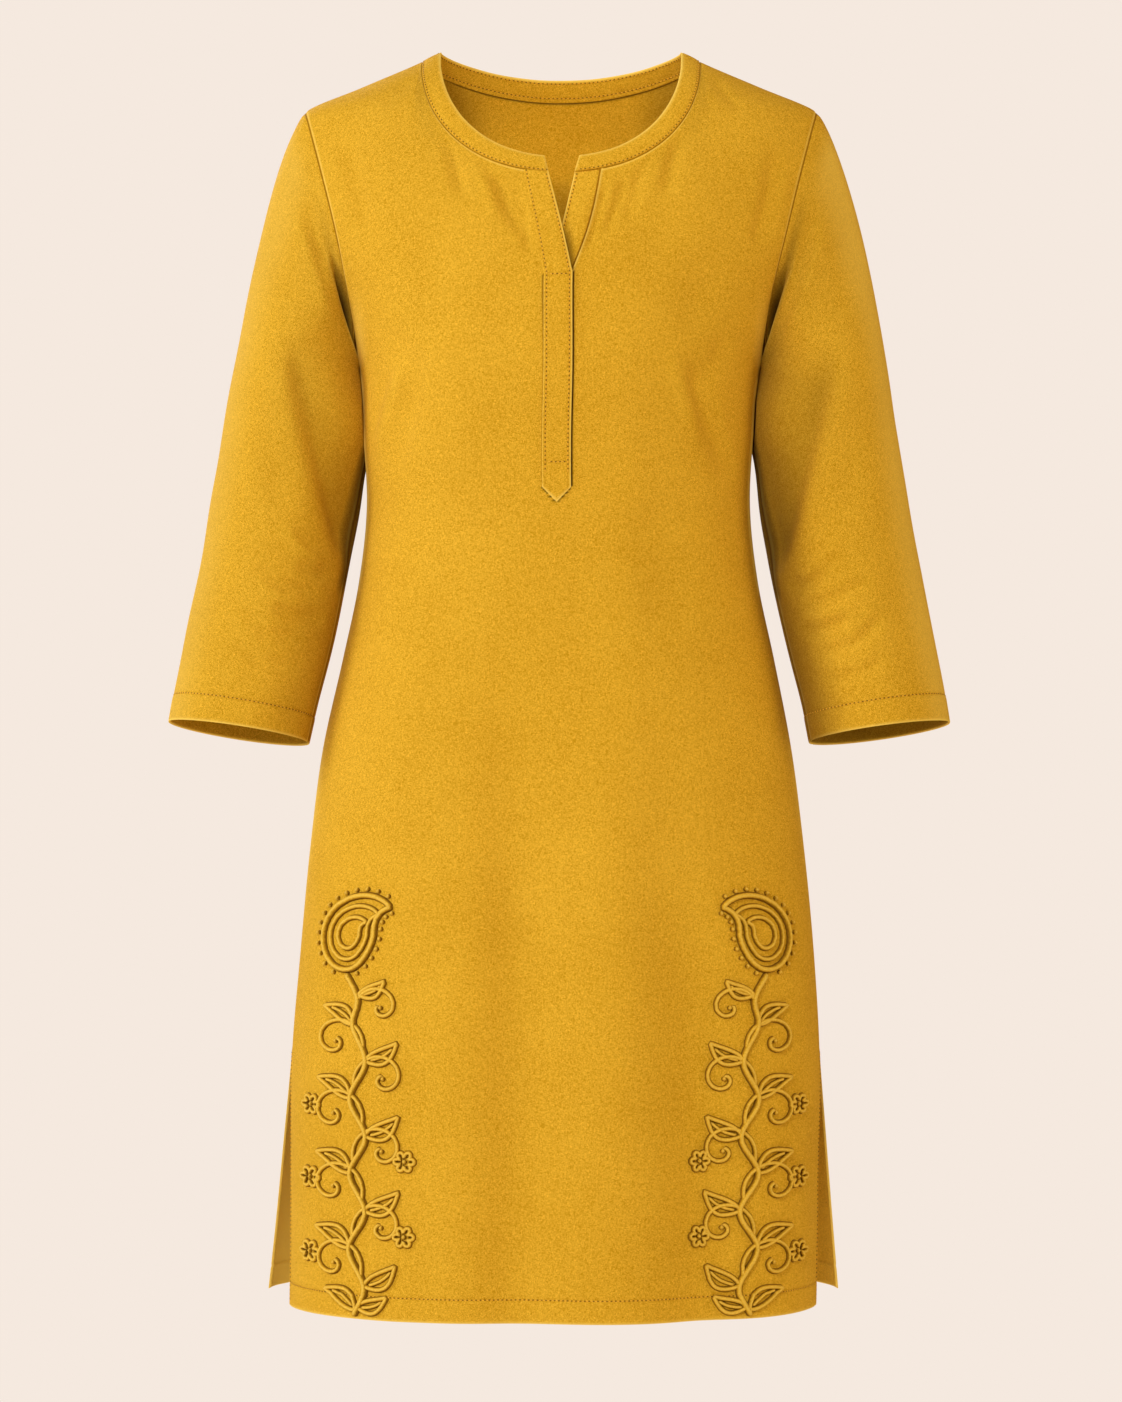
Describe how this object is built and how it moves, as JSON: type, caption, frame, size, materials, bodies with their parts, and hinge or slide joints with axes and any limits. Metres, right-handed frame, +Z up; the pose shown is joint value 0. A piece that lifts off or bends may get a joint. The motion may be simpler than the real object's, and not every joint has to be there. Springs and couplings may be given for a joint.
{
  "type": "tunic top",
  "caption": "Long A-line tunic with a banded round neck, half placket, three-quarter sleeves, side slits and raised cord work at the hem",
  "frame": {"origin": "midway between the two points where the neck seam crosses the shoulder seams, at their height, where the wearer's shoulders hold the garment", "axes": "+Z up, -Y towards the front of the garment, +X towards the wearer's left"},
  "size_m": [0.5977, 0.263, 0.9626],
  "materials": {
    "cloth": "matt plain-woven cotton and linen, piece-dyed mustard yellow",
    "trim": "the same cloth, doubled and pressed, with edge stitching"
  },
  "bodies": {
    "root": {"front": "cloth", "back": "cloth", "sleeve_left": "cloth", "sleeve_right": "cloth", "neck_band": "trim", "placket_over": "trim", "placket_under": "trim"}
  },
  "joints": []
}
